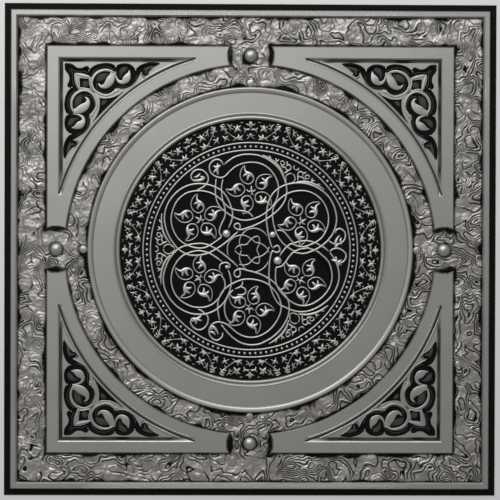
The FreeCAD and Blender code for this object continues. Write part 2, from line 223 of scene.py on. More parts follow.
def buildSheetTin():
    look = sheetLook
    material = newMaterial("antiqueTin")
    tree = material.node_tree
    patina = addNode(tree, "ShaderNodeGroup", {
        "lowEdge": look["lowEdge"], "highEdge": look["highEdge"], "ragged": look["ragged"],
        "blackWithin": look["roseEdge"]}, node_tree=patinaGroup)
    place, reach = addPlace(tree)
    axes = addNode(tree, "ShaderNodeSeparateXYZ", {0: place}).outputs
    grimeAndShade = addNoise(tree, place, look["grimeAndShadeScale"], 2.0)
    sideX, sideY = addMath(tree, "ABSOLUTE", axes["X"]), addMath(tree, "ABSOLUTE", axes["Y"])
    tip = addRange(tree, addMath(tree, "MINIMUM", sideX, sideY), *look["tip"])
    wander = multiply(tree, addMath(tree, "SUBTRACT", grimeAndShade, 0.5), look["footWander"])
    side = addMath(tree, "ADD", addMath(tree, "MAXIMUM", sideX, sideY), wander)
    low = addMath(tree, "LESS_THAN", axes["Z"], look["footTop"])
    foot = addNode(tree, "ShaderNodeGroup", {"value": side, "line": look["footLine"], "halfWidth": look["footWidth"]},
                   node_tree=lineGroup).outputs[0]
    uneven = addRange(tree, grimeAndShade, 0.35, 0.65, look["footLight"])
    # The dark band at the foot of the openings: black patina and painted shade, made uneven by noise.
    dark = multiply(tree, foot, uneven, low, tip)
    for line, width, strength in look["grooves"]:
        groove = addNode(tree, "ShaderNodeGroup", {
            "value": reach, "line": line, "halfWidth": width}, node_tree=lineGroup).outputs[0]
        groove = multiply(tree, groove, strength)
        if line > look["archStart"]:
            groove = multiply(tree, groove, low)
        dark = addMath(tree, "MAXIMUM", dark, groove)
    share = multiply(tree, patina.outputs["silver"], addMath(tree, "SUBTRACT", 1.0, dark))
    return finishTin(material, share)


# The rough ground carries its terraces in attributes: the step count, how fast it changes per
# millimetre and the distance from the border. Each step gets a riser with a lip above it and a groove below it,
# whose widths shrink where the steps crowd. The lip is brightened as a painted highlight, the groove blackened as
# patina and painted shade.
groundLook = dict(halfRiser=1.15, crowding=0.27, lip=0.8, groove=0.7, depth=0.00075, swell=5.6, swellScale=60.0,
                  veilScale=48.0, faded=0.2, veilTilt=0.22, grimeAndShadeScale=38.0, shadeAndPatinaReach=24.0, footReach=3.2,
                  stain=0.68)


def buildGroundTin():
    look = groundLook
    material = newMaterial("hammeredTin")
    tree = material.node_tree
    step, rate, foot = [addNode(tree, "ShaderNodeAttribute", attribute_name=label).outputs["Fac"]
                        for label in ("terrace", "rate", "foot")]
    place = addNode(tree, "ShaderNodeTexCoord").outputs["Object"]
    halfRiser = addMath(tree, "MINIMUM", look["halfRiser"], addMath(tree, "DIVIDE", look["crowding"], rate))
    away = addMath(tree, "DIVIDE", addMath(tree, "SUBTRACT", addMath(tree, "FRACT", step), 0.5), rate)
    away = addMath(tree, "DIVIDE", away, halfRiser)
    riser = addRange(tree, away, -1.0, 1.0, kind="SMOOTHSTEP")
    lip, groove = [addRange(tree, addMath(tree, "ABSOLUTE", addMath(tree, "ADD", away, shift)), 1.0, 0.0,
                            kind="SMOOTHSTEP") for shift in (-1.0, 1.0)]
    across = addNode(tree, "ShaderNodeSeparateXYZ", {0: place}).outputs
    tilt = multiply(tree, addMath(tree, "SUBTRACT", across["X"], across["Y"]), look["veilTilt"])
    veil = addMath(tree, "ADD", addNoise(tree, place, look["veilScale"], 2.0), tilt)
    sharp = addRange(tree, veil, 0.42, 0.56, look["faded"])  # the lines fade in places
    lip, groove = multiply(tree, lip, sharp), multiply(tree, groove, sharp)
    swell = addNoise(tree, place, look["swellScale"], 2.0)
    height = addMath(tree, "ADD", addMath(tree, "FLOOR", step), riser)
    height = addMath(tree, "ADD", height, multiply(tree, lip, look["lip"]))
    height = addMath(tree, "SUBTRACT", height, multiply(tree, groove, look["groove"]))
    height = addMath(tree, "ADD", height, multiply(tree, swell, look["swell"] / look["depth"] / 1000.0))
    # The grooves are darkened: black patina and painted shade.
    line = addRange(tree, groove, 0.65, 0.12)
    grimeAndShade = addNoise(tree, place, look["grimeAndShadeScale"], 3.0)
    spread = multiply(tree, addMath(tree, "SUBTRACT", grimeAndShade, 0.52), look["shadeAndPatinaReach"])
    # Dark patches along the border: painted shade with patina.
    edge = addRange(tree, addMath(tree, "ADD", foot, spread), -0.4, 2.2)  # patches along the border
    # An even dark line of painted shade at the foot of the walls.
    rim = addRange(tree, foot, 0.3, look["footReach"], 0.1)  # and an even dark line
    stain = addRange(tree, grimeAndShade, 0.4, 0.56, look["stain"])
    # Grooves, border shade and random stains darken the silver.
    share = multiply(tree, line, edge, rim, stain)
    # The lips are brightened as a painted highlight.
    return finishTin(material, share, lip, height, look["depth"], "silverWarm")


sheetTin = buildSheetTin()
plateTin = heightTin("plateTin", 2.25, 2.5, 0.1)
# The rose and the frieze turn brighter towards their crests: rubbed wear and painted highlight.
roseTin = heightTin("roseTin", 1.25, 1.7, 0.2, wearAndHighlight=True)
friezeTin = heightTin("friezeTin", 1.7, 2.7, 2.0, wearAndHighlight=True)
scrollTin = heightTin("scrollTin", 1.3, 1.8, 0.2)
groundTin = buildGroundTin()
darkTin = heightTin("darkTin", 0.9, 5.5)
blackTin = heightTin("blackTin", 90.0, 100.0)

sheetNode.data.materials.clear()
sheetNode.data.materials.append(sheetTin)
print("materials ready")


# Every relief piece is finished here: scaled to metres, smooth, riding on the sheet.
def finishPiece(name, bm, material):
    bmesh.ops.recalc_face_normals(bm, faces=bm.faces)
    bmesh.ops.scale(bm, vec=(0.001, 0.001, 0.001), verts=bm.verts)
    mesh = bpy.data.meshes.new(name)
    bm.to_mesh(mesh)
    bm.free()
    for face in mesh.polygons:
        face.use_smooth = True
    mesh.materials.append(material)
    piece = bpy.data.objects.new(name, mesh)
    bpy.context.scene.collection.objects.link(piece)
    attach(piece, "root")
    print(name, len(mesh.polygons), "faces")


# A smooth curve through given points (x, y, width), share from 0 to 1.
def curveAt(points, share):
    spot = share * (len(points) - 1)
    first = min(int(spot), len(points) - 2)
    u = spot - first
    four = [points[min(max(first + step, 0), len(points) - 1)] for step in (-1, 0, 1, 2)]
    return [0.5 * (2 * b + (c - a) * u + (2 * a - 5 * b + 4 * c - d) * u * u + (3 * b - a - 3 * c + d) * u ** 3)
            for a, b, c, d in zip(*four)]


# A pressed stroke: half-round or flat-topped, flat below, closed at both tips, as wide as its points say.
def addStroke(bm, points, rise, base=sheet["roseGround"], sides=8, finer=3, flat=False):
    rings = finer * (len(points) - 1) + 2
    widest = max(point[2] for point in points)
    made = bmesh.ops.create_uvsphere(bm, u_segments=sides, v_segments=rings, radius=1.0)["verts"]
    for vert in made:
        share = math.acos(min(max(vert.co.z, -1.0), 1.0)) / math.pi
        spread = math.hypot(vert.co.x, vert.co.y)
        across, up = (vert.co.x / spread, vert.co.y / spread) if spread > 0.001 else (0.0, 0.0)
        if flat:  # a power below one squares the section off
            across, up = [math.copysign(abs(part) ** 0.45, part) for part in (across, up)]
        x, y, width = curveAt(points, share)
        before, after = curveAt(points, max(share - 0.01, 0.0)), curveAt(points, min(share + 0.01, 1.0))
        along = Vector((after[0] - before[0], after[1] - before[1])).normalized()
        top = rise * math.sqrt(max(width, 0.0) / widest)
        vert.co = (x - along.y * across * width / 2, y + along.x * across * width / 2,
                   base + (top * up if up > 0 else -sink))
    return made


# A ring turned from a closed section, given as (radius, height) points.
def addTurned(bm, profile):
    section = bmesh.ops.create_circle(bm, segments=len(profile), radius=1.0)["verts"]
    for vert, (radius, height) in zip(section, profile):
        vert.co = (radius, 0.0, height)
    edges = list(dict.fromkeys(edge for vert in section for edge in vert.link_edges))
    bmesh.ops.spin(bm, geom=section + edges, cent=(0, 0, 0), axis=(0, 0, 1), angle=2 * math.pi, steps=240,
                   use_merge=True)


# Repeats all that is in the mesh so far round the middle.
def addTurns(bm, turns):
    bmesh.ops.spin(bm, geom=bm.verts[:] + bm.edges[:] + bm.faces[:], cent=(0, 0, 0), axis=(0, 0, 1),
                   angle=2 * math.pi * (turns - 1) / turns, steps=turns - 1, use_duplicate=True)


# Mirrors all that is in the mesh so far, about the plane square to one direction.
def addMirrored(bm, direction):
    made = bmesh.ops.duplicate(bm, geom=bm.verts[:] + bm.edges[:] + bm.faces[:])["geom"]
    copies = [item for item in made if isinstance(item, bmesh.types.BMVert)]
    bmesh.ops.transform(bm, matrix=Matrix.Scale(-1.0, 4, direction), verts=copies)


# Places points that are drawn as (degrees from a middle, radius, width), to one side of it.
def fromPolar(points, middle, side=1):
    angles = [math.radians(middle + side * away) for away, radius, width in points]
    return [(point[1] * math.cos(angle), point[1] * math.sin(angle), point[2])
            for angle, point in zip(angles, points)]


def arcPoints(radius, start, end, widths):
    last = len(widths) - 1
    return fromPolar([((end - start) * step / last, radius, width) for step, width in enumerate(widths)], start)


# Gives a line of (x, y) points one width, slimmer at its two tips.
def withWidth(line, width, tip=0.6):
    return [(x, y, width * (tip if step in (0, len(line) - 1) else 1.0)) for step, (x, y) in enumerate(line)]


# The rough ground between rim, plates and ring mouldings.
roughGround = dict(cell=1.2, relief=2.1, hillSize=25.5, fineHills=0.25, swirl=7.5, swirlSize=20.0, wiggle=2.7,
                   wiggleSize=8.0, steps=5.2, tread=7.0, levels=1.8, crowd=0.9, crowdSize=42.0, softEdge=2.0,
                   seed=4, bury=0.1, notchShade=4.2, shadeTaper=7.0, shadeSize=14.0, studShade=2.6)
noise.seed_set(roughGround["seed"])  # without it noise_vector differs from run to run


# Distance to the nearest ball or stud of one quarter.
def toNearest(ax, ay, centre):
    return min(math.hypot(ax - sheet[centre], ay), math.hypot(ax, ay - sheet[centre]))


# How far a point lies inside the rough ground, negative outside it.
def roomAt(x, y, studGap=0.0):
    ax, ay = abs(x), abs(y)
    out = math.hypot(ax, ay)
    toBalls = toNearest(ax, ay, "ballCentre")
    toStuds = toNearest(ax, ay, "studCentre")
    inPlate = min(sheet["plateEdge"] - max(ax, ay), out - sheet["plateArc"], toBalls - sheet["notchRadius"])
    return min(sheet["fieldEdge"] - max(ax, ay), out - sheet["ringFoot"], -inPlate,
               toBalls - sheet["ballRadius"], toStuds - sheet["studRadius"] + studGap) + roughGround["bury"]


# The distance that the painted shade and patina along the border follow: shorter beside the plates' hollow ends, where
# a painted shadow lies in a crescent.
def shadeAt(x, y):
    look = roughGround
    ax, ay = abs(x), abs(y)
    room = max(roomAt(x, y, look["studShade"]), 0.0)
    between = min(sheet["plateEdge"] - max(ax, ay), math.hypot(ax, ay) - sheet["plateArc"])
    if between <= 0.0:
        return room
    toBalls = toNearest(ax, ay, "ballCentre")
    uneven = 0.75 + 0.7 * noise.noise(Vector((x / look["shadeSize"], y / look["shadeSize"], 7.0)))
    crescent = look["notchShade"] * uneven * min(between / look["shadeTaper"], 1.0)
    return min(room, max(sheet["notchRadius"] - toBalls - crescent, 0.0))


# Hills bent by a slow swirl and a quicker wiggle, counted in steps that crowd in some places.
def terraceAt(x, y):
    look = roughGround
    large, small, wide = look["swirlSize"], look["wiggleSize"], look["crowdSize"]
    swirl = noise.noise_vector(Vector((x / large + 3.1, y / large, look["seed"]))) * look["swirl"]
    wiggle = noise.noise_vector(Vector((x / small, y / small, look["seed"] + 9.0))) * look["wiggle"]
    spot = Vector((x + swirl.x + wiggle.x, y + swirl.y + wiggle.y, 0.0)) / look["hillSize"]
    value = noise.noise(spot) + look["fineHills"] * noise.noise(spot * 2.3 + Vector((0.0, 0.0, 5.0)))
    crowd = 1.0 + look["crowd"] * noise.noise(Vector((x / wide, y / wide, look["seed"] + 20.0)))
    return (0.9 + value * crowd) * look["steps"]


def buildGround(name, signX, signY):
    look = roughGround
    cells = round((sheet["fieldEdge"] + look["cell"]) / look["cell"])
    middle = cells * look["cell"] / 2
    bm = bmesh.new()
    bmesh.ops.create_grid(bm, x_segments=cells, y_segments=cells, size=middle)
    bmesh.ops.translate(bm, verts=bm.verts, vec=(signX * middle, signY * middle, 0.0))
    terrace, rate, foot = [bm.verts.layers.float.new(label) for label in ("terrace", "rate", "foot")]
    outside = set()
    for vert in bm.verts:
        x, y = vert.co.x, vert.co.y
        room = roomAt(x, y)
        if room < -look["cell"] / 2:
            outside.add(vert)
            continue
        if room < look["cell"] / 2:
            slope = Vector((roomAt(x + 0.1, y) - roomAt(x - 0.1, y), roomAt(x, y + 0.1) - roomAt(x, y - 0.1)))
            if slope.length > 0.01:  # a corner by the border moves onto it, but not off the seams
                slope.normalize()
                vert.co.x -= slope.x * room if abs(x) > 0.001 else 0.0
                vert.co.y -= slope.y * room if abs(y) > 0.001 else 0.0
            room = 0.0
        value = terraceAt(vert.co.x, vert.co.y)
        level = (value - math.sin(2 * math.pi * value) / look["tread"]) / (look["levels"] * look["steps"])
        level = min(max(level, 0.0), 1.0)
        soft = min(room / look["softEdge"], 1.0)
        vert[terrace], vert[foot] = value, shadeAt(vert.co.x, vert.co.y)
        vert.co.z = sheet["field"] - look["bury"] + soft * (2 - soft) * (look["bury"] + level * look["relief"])
    for vert in bm.verts:
        if vert not in outside:
            ends = [(edge.other_vert(vert), edge.calc_length()) for edge in vert.link_edges]
            slopes = [abs(end[terrace] - vert[terrace]) / length for end, length in ends if end not in outside]
            vert[rate] = min(max(slopes + [0.04]), 1.2)
    corners = [[vert for vert in face.verts if vert not in outside] for face in bm.faces]
    corners = [three for three in corners if len(three) == 3]
    bmesh.ops.delete(bm, geom=list(outside), context="VERTS")
    for three in corners:
        bm.faces.new(three)
    rim = [edge for edge in bm.edges if edge.is_boundary]
    for edge in rim:
        edge.smooth = False  # so the seams between the four pieces don't show
    lower = bmesh.ops.extrude_edge_only(bm, edges=rim)["geom"]
    for vert in lower:
        if isinstance(vert, bmesh.types.BMVert):
            vert.co.z = sheet["field"] - 2 * look["bury"]
    under = [edge for edge in bm.edges if edge.is_boundary]
    bmesh.ops.triangle_fill(bm, use_beauty=False, use_dissolve=False, edges=under)
    finishPiece(name, bm, groundTin)


for groundName, signX, signY in (("groundTopRight", 1, 1), ("groundTopLeft", -1, 1),
                                 ("groundBottomLeft", -1, -1), ("groundBottomRight", 1, -1)):
    buildGround(groundName, signX, signY)
print("rough ground done")

# Rose: leaf groups. Each leaf is drawn tip up, about its own middle.
leafLook = dict(groups=6, groupRadius=73.45, groupTurn=29.35, leaves=5, leafRadius=17.55, leafTurn=90.65)
leafRing = [(1.9, 13.6, 0.9), (-1.4, 12.2, 1.3), (-4.8, 8.8, 1.6), (-7.1, 4.8, 1.7), (-7.9, 1.2, 1.7),
            (-7.4, -2.4, 1.7), (-5.7, -5.7, 1.7), (-2.8, -8.5, 1.7), (0.6, -9.8, 1.8), (3.9, -8.7, 1.8),
            (6.7, -6.2, 1.9), (8, -2.8, 1.8)]
leafBody = [(1.9, 13.6, 0.6), (0.7, 10.8, 1.9), (0.2, 8, 2.8), (1, 5.2, 4.2), (3, 3, 5.6),
            (5.4, 0.8, 5.2), (7, -1.8, 3.6), (7.3, -4.4, 2.2), (5.6, -7.2, 1)]
leafBarb = [(2.6, 2.4, 4.2), (-0.6, 2.7, 3.6), (-3, 2.1, 2.6), (-5, 1.2, 0.8)]
leafLobe = [(4.6, 1, 4.2), (1.8, -0.6, 4), (0, -2.8, 3.2), (-0.9, -5.4, 1.2)]


def buildLeaves():
    look = leafLook
    bm = bmesh.new()
    groupAngle = math.radians(look["groupTurn"])
    for leaf in range(look["leaves"]):
        angle = groupAngle + math.radians(look["leafTurn"] + 360.0 * leaf / look["leaves"])
        x = look["groupRadius"] * math.cos(groupAngle) + look["leafRadius"] * math.cos(angle)
        y = look["groupRadius"] * math.sin(groupAngle) + look["leafRadius"] * math.sin(angle)
        place = Matrix.Translation((x, y, 0.0)) @ Matrix.Rotation(angle - math.pi / 2, 4, "Z")
        for points, rise in ((leafRing, 1.4), (leafBody, 2.6), (leafBarb, 2.0), (leafLobe, 2.1)):
            made = addStroke(bm, points, rise)
            bmesh.ops.transform(bm, matrix=place, verts=made)
    addTurns(bm, look["groups"])
    finishPiece("leafGroups", bm, roseTin)


buildLeaves()

# Wires of the rose, drawn through listed points (x, y). All lines of the lobes share one width.
wireLook = dict(width=2.5, thinWidth=1.9, rise=1.85, thinRise=1.3, ballFlat=0.75)
lobeWires = [
    # outer line of the top lobe, down to the small loop on the left of the middle
    [(-33, 103.5), (-28, 108.5), (-20, 113.7), (-10, 116.8), (0, 117.2), (10, 115.9), (20, 111.8), (29, 105.5),
     (36, 98), (41, 88), (44, 78), (44.3, 69), (42, 60.5), (37, 52.5), (30, 45.5), (22, 39.5), (13, 34), (4, 29.8),
     (-4, 27), (-10, 25), (-16, 25.3), (-20, 28.5), (-18.5, 31.7), (-15, 32.5), (-12.7, 30.5), (-13, 26), (-14.5, 23)],
    # inner line of the top lobe, from its curl round and back up
    [(-33.5, 103), (-35, 107.5), (-39.5, 110.8), (-45.5, 109.5), (-50, 104.5), (-50.3, 98), (-46.8, 92.5), (-41, 89.3),
     (-35, 88.5), (-30, 91.5), (-25, 97), (-18, 102.5), (-10, 106), (0, 107.6), (9, 106.8), (17, 103.8), (24, 98.5),
     (30, 90.5), (33.5, 82), (34.3, 73), (32.5, 63), (28, 54.5), (21, 47.5), (13, 42), (4, 38.3), (-4, 36.5),
     (-12, 36.9), (-20, 39.8), (-27, 44), (-33, 48.3), (-38, 53.5), (-41.5, 61), (-43, 70), (-43, 79), (-42, 88.5)],
    # upper left lobe
    [(-14.5, 23), (-20, 18.2), (-27, 11.8), (-35, 5.5), (-42, 1), (-46, -1.3), (-52, -4.3), (-59, -6), (-67, -6.9),
     (-74, -6.6), (-79, -5), (-84, -2.3), (-88.5, 1), (-94, 7.5), (-100, 17), (-104, 28), (-105.5, 39), (-103.5, 51),
     (-98, 62), (-90, 71), (-80, 77.5), (-70, 80.5), (-60, 81), (-51, 79.7), (-43, 76.8), (-36, 73), (-31, 67.5),
     (-27, 61), (-23.8, 53), (-21.8, 45), (-22.5, 38), (-25, 31), (-27.5, 26)],
    [(3.5, 39), (2, 42), (-2, 45.5), (-8, 47.7), (-15, 48.4), (-22, 50), (-28, 53), (-33, 58.5), (-39, 64), (-47, 69),
     (-56, 71.7), (-65, 72.2), (-74, 71), (-82, 67.3), (-89, 61), (-94, 52.5), (-97, 42), (-97, 33), (-94.5, 24),
     (-90, 15.5), (-84, 9.5), (-77, 5.3), (-70, 3), (-62, 2), (-55, 3), (-50, 5.3), (-45, 8.5), (-40, 12),
     (-35.5, 16.3), (-37.8, 20), (-37.8, 25), (-35.5, 32), (-32, 39), (-30.7, 46), (-32, 53), (-34, 61),
     (-35.3, 70), (-35.3, 79), (-33.5, 88)],
    [(-68, 72.3), (-61, 75.3), (-55, 79.5), (-51.8, 85.5), (-53, 92), (-58, 97), (-64, 98.4), (-70, 96),
     (-73, 90.5), (-71.3, 85.8), (-66.5, 83.5)],
    # upper right lobe
    [(27.5, 1.5), (25.3, 6.5), (23.5, 13), (22, 20), (20.6, 28), (19.7, 36), (19.6, 44), (20.5, 52), (22.3, 59),
     (24.8, 65.3), (28.5, 70.5), (33.5, 75), (40, 78.8), (48, 81.3), (57, 82.4), (67, 81.8), (77, 79), (86, 74.3),
     (94, 67.7), (100, 59.5), (104, 49.5), (105.8, 39), (104.5, 29), (101, 20), (95.5, 12.5), (91, 8), (87, 5),
     (83, 2.4), (79, 0.4), (75, 1.2), (71, 2.6), (66, 1.8), (60, 1), (56.5, -0.8), (53, -0.8), (49, 1.5), (45, 4),
     (41, 7.5), (37, 12), (33.5, 17.5), (31, 23), (29, 30), (27.5, 38), (27.2, 46), (28.5, 53), (32, 58.5),
     (37.5, 64), (44, 68.5), (51, 71.3), (59, 72.8), (68, 72.5), (76, 70), (84, 65), (90.5, 57.5), (94.5, 48),
     (96, 38), (94.5, 28), (90, 18.5), (85, 13), (79, 9), (74, 6.8), (68, 4.5), (62, 4), (56, 5.5), (50, 7.7),
     (45, 4), (42, 1), (38, -4), (36, -8)],
    [(31, 23.3), (36, 24.3), (41, 22.5), (46, 17), (50, 12), (53.5, 8.8), (58, 10), (62, 11), (67, 11.6), (73, 11),
     (79, 9.3), (83, 7.5), (87, 5), (92, 2.3), (97, -2.5)],
    [(96, 12), (99, 9.5), (103, 7.8), (108, 7.6), (112.5, 9.5), (116, 14), (116.6, 20), (114, 24.5), (109, 26.5),
     (105, 24), (104.5, 20)],
    # lower right lobe
    [(97, -2.5), (102, -8.5), (106, -16.5), (108.5, -25), (109, -34), (107, -43.5), (102.5, -52.5), (96, -60.5),
     (88, -67), (79, -72), (70, -75), (61, -75.7), (53, -74.3), (46, -71.7), (41, -69.3), (36, -67), (32, -62),
     (28.5, -55.5), (25.5, -48), (23.5, -40), (23, -31), (23.2, -22), (23.8, -13), (25.5, -5), (27.5, -1),
     (31, -2.8), (35, -2), (36.3, 1.5), (34, 5.2), (30.5, 4.5), (27.5, 1.5)],
    [(80, -0.5), (84, -2.7), (88.5, -6.5), (93, -10.5), (96.5, -15), (99, -22), (100.3, -30), (99.8, -38),
     (97, -46.5), (92, -54), (85, -60.5), (77, -65.5), (69, -68), (61, -68), (54, -65.5), (47, -61), (41, -55.5),
     (36, -49.5), (32.5, -43.5), (31, -36), (31, -28), (32, -21.5), (37, -20.5), (41, -17.5), (45, -12),
     (49, -6.5), (53, -2.8), (58, -3.5), (64, -4.3), (70, -3.3), (75, -1.5), (80, -0.5)],
    [(97, -2.5), (100, 0.5), (104.5, 2.4), (109.5, 1.8), (114, -0.8), (117.3, -5), (117, -10), (113.5, -14.5),
     (108.5, -15.5)],
    # bottom lobe
    [(-36, -91), (-32, -96), (-26, -103), (-18, -110), (-9, -114.8), (1, -116.5), (11, -115.5), (20, -111.5),
     (29, -105.8), (37, -98), (43, -89), (47, -79.5), (48, -70), (46.5, -61.5), (43, -55.5), (38.5, -50.5),
     (33, -44), (27, -38), (20, -33.5), (12, -29.5), (4, -27), (-4, -25), (-10, -23.5), (-15, -23.7), (-19.5, -27),
     (-19, -31.5), (-15.5, -33.5), (-12.5, -31), (-12.5, -26), (-14.5, -21.8)],
    [(-34, -101), (-33.7, -105), (-36.5, -109), (-41, -111), (-46.5, -108.5), (-50, -103), (-49.8, -96.5),
     (-46, -91), (-40, -88.5), (-35, -89), (-30, -90.7), (-24, -95), (-17, -101), (-9, -105.5), (0, -107.3),
     (9, -106.5), (17, -103), (24, -98), (30, -91), (35, -82.5), (37.8, -74), (37.7, -66), (35.5, -58.5),
     (31.5, -51.5), (26, -45.5), (20.5, -41.3), (13, -38), (5, -36.3), (-3, -35.8), (-11, -36.8), (-19, -40),
     (-27, -44.5), (-33, -50), (-37, -56.5), (-39.5, -64), (-39.8, -72), (-38.8, -80), (-37, -88)],
    [(-20, -48.5), (-24, -52), (-27.5, -57), (-30.5, -64), (-31.6, -72), (-30.3, -80), (-27, -86.5), (-22, -89)],
    [(-9.5, -38), (-9.7, -42), (-12.5, -45.3), (-20, -48.5)],
    [(-12.5, -45.3), (-8, -46.5), (-5.5, -49.5), (-6.5, -53.5), (-11, -55.3), (-17, -54.5)],
    # lower left lobe
    [(-14.5, -21.8), (-19, -17), (-26, -10.8), (-34, -4.5), (-42, 1), (-46, 3.3), (-52, 6.2), (-59, 7.7), (-66, 7.6),
     (-73, 6.6), (-78, 5.2), (-83, 3.8), (-88.5, 0.7), (-94, -4.5), (-99.5, -12), (-103.5, -21), (-106.3, -31),
     (-106.3, -41), (-103.5, -51), (-98.5, -60), (-91.5, -68), (-83, -74), (-73, -78), (-63, -79.3), (-54, -78.5),
     (-46, -75.8), (-39.5, -71.7), (-33.5, -66), (-29, -59), (-25.5, -51), (-23.5, -43), (-23.8, -36),
     (-25.5, -29), (-27.5, -24.5)],
    [(-33, -16), (-38, -12), (-44, -7.8), (-50, -4.3), (-56, -2.3), (-63, -1.2), (-70, -2), (-76, -4), (-80, -5.7),
     (-85, -9), (-90, -14.5), (-94, -21.5), (-96.5, -30), (-97, -39), (-95, -48), (-91, -56), (-85, -62.5),
     (-77, -67.5), (-69, -70.3), (-60, -70.8), (-52, -69.3), (-45, -65.8), (-39.5, -60.5), (-35, -54),
     (-31.5, -47.5), (-30.8, -41), (-32.5, -35.5), (-36, -31)],
    [(-65, -72.5), (-60, -74.5), (-55.5, -78), (-52, -82), (-51.7, -88), (-54.5, -94), (-60, -98), (-66, -97.5),
     (-71, -93.5), (-73, -88), (-70.5, -84.5), (-65, -83)],
    [(-37, -26), (-37.7, -21.5), (-36.5, -17.8), (-33, -16), (-29, -15.6), (-25.8, -17.5), (-25.3, -20.5),
     (-27.5, -23)],
]
# The middle: a rounded triangle, a trefoil and a six-lobed flower laced through each other.
middleWires = [
    [(-10.5, 0), (-12.5, 5), (-13.5, 10), (-12, 16), (-8.5, 21), (-3, 25), (4, 26.7), (11, 25.3), (17, 21.5),
     (21.5, 16)],
    [(-26.5, -8), (-28, -3), (-28, 4), (-26, 10), (-22, 14), (-17, 17), (-10, 18.3), (-5, 17), (0, 14.5), (3, 12),
     (7, 9), (11, 8.7), (16, 6), (21, 1.5), (23.5, -5)],
    [(-15, -17.5), (-8, -18.5), (-2, -17), (2, -13), (6, -9.5), (11, -8.5), (16, -6), (21, -1.5), (23.5, 5)],
    [(-10.5, 0), (-12.5, -5), (-13.3, -10), (-11.5, -16), (-8, -21), (-4, -24.5)],
    [(5, -27), (9, -26.3), (14, -24), (19, -19.5), (22.5, -13.5)],
    [(-19.5, 0), (-16, 4), (-11.5, 6), (-7, 6.3), (-4, 7.2), (-1.5, 10.5), (2.5, 14.5), (7, 16.6), (10, 16.3),
     (11.3, 12), (10.3, 6), (8, 0), (10.5, -6), (11.3, -12), (10, -16.5), (6, -16), (1.5, -13.5), (-1.5, -10),
     (-3.7, -7), (-7, -6.8), (-11, -6.3), (-16, -4), (-19.5, 0)],
]
# Small balls where the wires cross, as (x, y, radius).
roseBalls = [(-29.5, 20, 5.0), (27.3, 19, 3.9), (33.5, -13, 5.2), (-28.8, -21, 2.6)]


def buildRoseWires():
    look = wireLook
    bm = bmesh.new()
    for line in lobeWires:
        addStroke(bm, withWidth(line, look["width"]), look["rise"])
    for line in middleWires:
        addStroke(bm, withWidth(line, look["thinWidth"]), look["thinRise"])
    for x, y, radius in roseBalls:
        made = bmesh.ops.create_uvsphere(bm, u_segments=24, v_segments=12, radius=radius)["verts"]
        for vert in made:
            vert.co.z = max(vert.co.z * look["ballFlat"], -sink)
        bmesh.ops.translate(bm, verts=made, vec=(x, y, sheet["roseGround"]))
    finishPiece("roseWires", bm, roseTin)


buildRoseWires()

# Leaves at the ends of the curls, and a small star in the middle of every leaf group.
curlLook = dict(curlRise=2.4, starRise=2.0)
curlLeaves = [
    [(-46.5, 103.5, 1), (-43, 101.5, 3.8), (-40, 101.5, 4.6), (-36, 104.5, 1.6)],
    [(-40.5, 107, 0.8), (-40.5, 103, 3.2), (-41, 98, 4.6), (-39.5, 91, 1.5)],
    [(-41, 99.5, 3), (-44, 96.5, 3), (-46, 94, 1)],
    [(-71.5, 86, 1.2), (-66, 85, 3), (-60, 86, 4.2), (-55.5, 88.5, 1.2)],
    [(-70, 89, 1), (-65, 90, 3.6), (-61, 94.5, 1)],
    [(-62, 89.5, 3), (-57.5, 89, 3), (-55.5, 86.5, 1.2)],
]
roseStar = [[(0, -2, 3), (0.3, 2, 2.8), (0, 6.2, 0.8)], [(0, -1, 2.8), (-3.2, -1.6, 2.4), (-6.2, 1.4, 0.7)],
            [(0, -1, 2.8), (3.2, -1.2, 2.4), (6, 1.8, 0.7)], [(0, -1.2, 2.4), (1, -4, 1.8), (-1.4, -7.4, 0.7)],
            [(0.2, -3.4, 1.6), (2.6, -5.2, 1.4), (3.6, -7, 0.6)]]


def buildRoseLeaves():
    look = curlLook
    bm = bmesh.new()
    reach = leafLook["groupRadius"]
    for points in curlLeaves:
        addStroke(bm, points, look["curlRise"])
    for group in range(2):
        angle = math.radians(leafLook["groupTurn"] + 60.0 * group)
        place = Matrix.Translation((reach * math.cos(angle), reach * math.sin(angle), 0.0))
        for points in roseStar:
            made = addStroke(bm, points, look["starRise"], finer=2)
            bmesh.ops.transform(bm, matrix=place @ Matrix.Rotation(angle - math.pi / 2, 4, "Z"), verts=made)
    addTurns(bm, 3)
    finishPiece("roseLeaves", bm, roseTin)


buildRoseLeaves()

